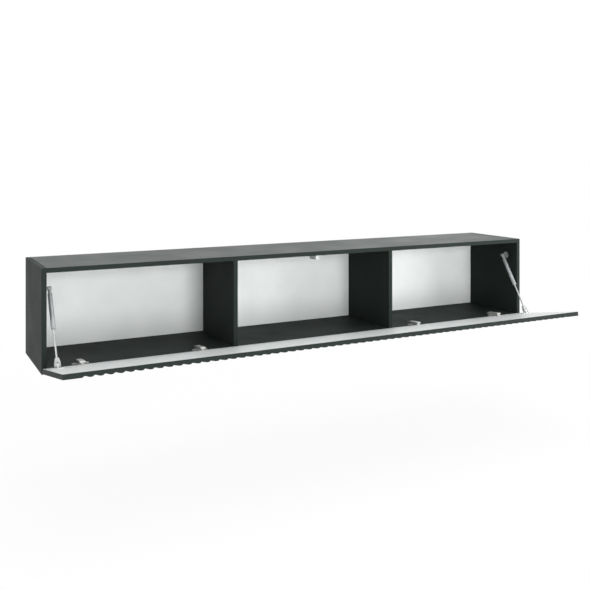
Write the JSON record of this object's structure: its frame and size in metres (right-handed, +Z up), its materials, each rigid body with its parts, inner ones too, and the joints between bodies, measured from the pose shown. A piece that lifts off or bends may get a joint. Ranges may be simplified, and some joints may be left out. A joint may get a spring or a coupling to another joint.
{
  "type": "floating media console",
  "caption": "Wall-hung media console: open bays behind a full-width fluted drop flap on concealed hinges, checked by gas struts, with a push latch.",
  "frame": {"origin": "on the wall plane, in the middle of the width, on the line of the wall hanger holes", "axes": "+X along the width to the right as seen from the room, +Y at the wall, +Z up"},
  "size_m": [2, 0.6609, 0.34],
  "materials": {
    "carcass_board": "board with matt grey lacquer",
    "back_board": "thin hardboard with a pale grey face",
    "flap_board": "fluted board, pale grey lacquer inside and dark grey outside",
    "dowel": "plain beech",
    "zinc": "zinc plated",
    "screw": "zinc plated",
    "hinge_steel": "nickel plated",
    "strut_tube": "silver grey lacquer",
    "strut_rod": "polished",
    "socket_grey": "grey moulding",
    "socket_light": "light grey moulding",
    "foot_casting": "zinc casting with pale grey lacquer",
    "latch_body": "grey moulding",
    "latch_tip": "white moulding",
    "strike": "pale grey lacquer"
  },
  "bodies": {
    "carcass": {"back_panel_left": "back_board", "back_panel_middle": "back_board", "back_panel_right": "back_board", "bottom_panel": "carcass_board", "hinge_1_arm": "hinge_steel", "hinge_1_plate": "hinge_steel", "hinge_2_arm": "hinge_steel", "hinge_2_plate": "hinge_steel", "hinge_3_arm": "hinge_steel", "hinge_3_plate": "hinge_steel", "hinge_4_arm": "hinge_steel", "hinge_4_plate": "hinge_steel", "hinge_clamp_screws": "screw", "hinge_pins": "hinge_steel", "hinge_plate_screws": "screw", "joinery_cam_bolts": "zinc", "joinery_cams": "zinc", "joinery_dowels": "dowel", "latch_housing": "latch_body", "latch_screws": "screw", "left_divider": "carcass_board", "left_side_panel": "carcass_board", "left_strut_side_bracket": "zinc", "right_divider": "carcass_board", "right_side_panel": "carcass_board", "right_strut_side_bracket": "zinc", "strut_side_screws": "screw", "top_panel": "carcass_board", "wall_hanger_1": "zinc", "wall_hanger_2": "zinc", "wall_hanger_3": "zinc", "wall_hanger_4": "zinc", "wall_hanger_screws": "screw"},
    "flap": {"flap_board": "flap_board", "hinge_cup_screws": "screw", "latch_strike_plate": "strike", "strut_foot_pins": "foot_casting", "strut_flap_screws": "screw", "hinge_1_cup": "hinge_steel", "hinge_2_cup": "hinge_steel", "hinge_3_cup": "hinge_steel", "hinge_4_cup": "hinge_steel", "left_strut_flap_bracket": "foot_casting", "right_strut_flap_bracket": "foot_casting"},
    "link_1": {"hinge_1_link": "hinge_steel"},
    "link_2": {"hinge_2_link": "hinge_steel"},
    "link_3": {"hinge_3_link": "hinge_steel"},
    "link_4": {"hinge_4_link": "hinge_steel"},
    "left_tube": {"left_strut_upper_socket": "socket_grey", "left_strut_tube": "strut_tube", "left_strut_rod_guide": "socket_grey"},
    "left_rod": {"left_strut_piston_rod": "strut_rod", "left_strut_lower_socket": "socket_light"},
    "right_tube": {"right_strut_upper_socket": "socket_grey", "right_strut_tube": "strut_tube", "right_strut_rod_guide": "socket_grey"},
    "right_rod": {"right_strut_piston_rod": "strut_rod", "right_strut_lower_socket": "socket_light"},
    "plunger": {"latch_plunger": "latch_tip"}
  },
  "joints": [
    {"name": "flap_hinge", "type": "hinge", "parent": "carcass", "child": "flap", "pos_m": [0, -0.3385, -0.285], "axis": [-1, 0, 0], "range_deg": [0, 79.5]},
    {"name": "link_1_pivot", "type": "hinge", "parent": "carcass", "child": "link_1", "pos_m": [-0.873, -0.33264, -0.26798], "axis": [1, 0, 0], "range_deg": [0, 17.2]},
    {"name": "link_2_pivot", "type": "hinge", "parent": "carcass", "child": "link_2", "pos_m": [-0.45867, -0.33264, -0.26798], "axis": [1, 0, 0], "range_deg": [0, 17.2]},
    {"name": "link_3_pivot", "type": "hinge", "parent": "carcass", "child": "link_3", "pos_m": [0.45867, -0.33264, -0.26798], "axis": [1, 0, 0], "range_deg": [0, 17.2]},
    {"name": "link_4_pivot", "type": "hinge", "parent": "carcass", "child": "link_4", "pos_m": [0.873, -0.33264, -0.26798], "axis": [1, 0, 0], "range_deg": [0, 17.2]},
    {"name": "left_rod_swing", "type": "hinge", "parent": "flap", "child": "left_rod", "pos_m": [-0.964, -0.3984, -0.25152], "axis": [1, 0, 0], "range_deg": [0, 94.7]},
    {"name": "left_tube_slide", "type": "slide", "parent": "left_rod", "child": "left_tube", "axis": [0, -0.5425, -0.8401], "range_m": [0, 0.0641]},
    {"name": "right_rod_swing", "type": "hinge", "parent": "flap", "child": "right_rod", "pos_m": [0.964, -0.3984, -0.25152], "axis": [1, 0, 0], "range_deg": [0, 94.7]},
    {"name": "right_tube_slide", "type": "slide", "parent": "right_rod", "child": "right_tube", "axis": [0, -0.5425, -0.8401], "range_m": [0, 0.0641]},
    {"name": "plunger_push", "type": "slide", "parent": "carcass", "child": "plunger", "axis": [0, 1, 0], "range_m": [0, 0.0035], "stiffness_N_per_m": 400, "springref_m": -0.004}
  ],
  "couplings": [
    {"joint": "link_1_pivot", "follows": "flap_hinge", "ratio": 0.2162},
    {"joint": "link_2_pivot", "follows": "flap_hinge", "ratio": 0.2162},
    {"joint": "link_3_pivot", "follows": "flap_hinge", "ratio": 0.2162},
    {"joint": "link_4_pivot", "follows": "flap_hinge", "ratio": 0.2162},
    {"joint": "left_rod_swing", "follows": "flap_hinge", "ratio": 1.19},
    {"joint": "left_tube_slide", "follows": "flap_hinge", "m_per_rad": 0.046167},
    {"joint": "right_rod_swing", "follows": "flap_hinge", "ratio": 1.19},
    {"joint": "right_tube_slide", "follows": "flap_hinge", "m_per_rad": 0.046167}
  ]
}
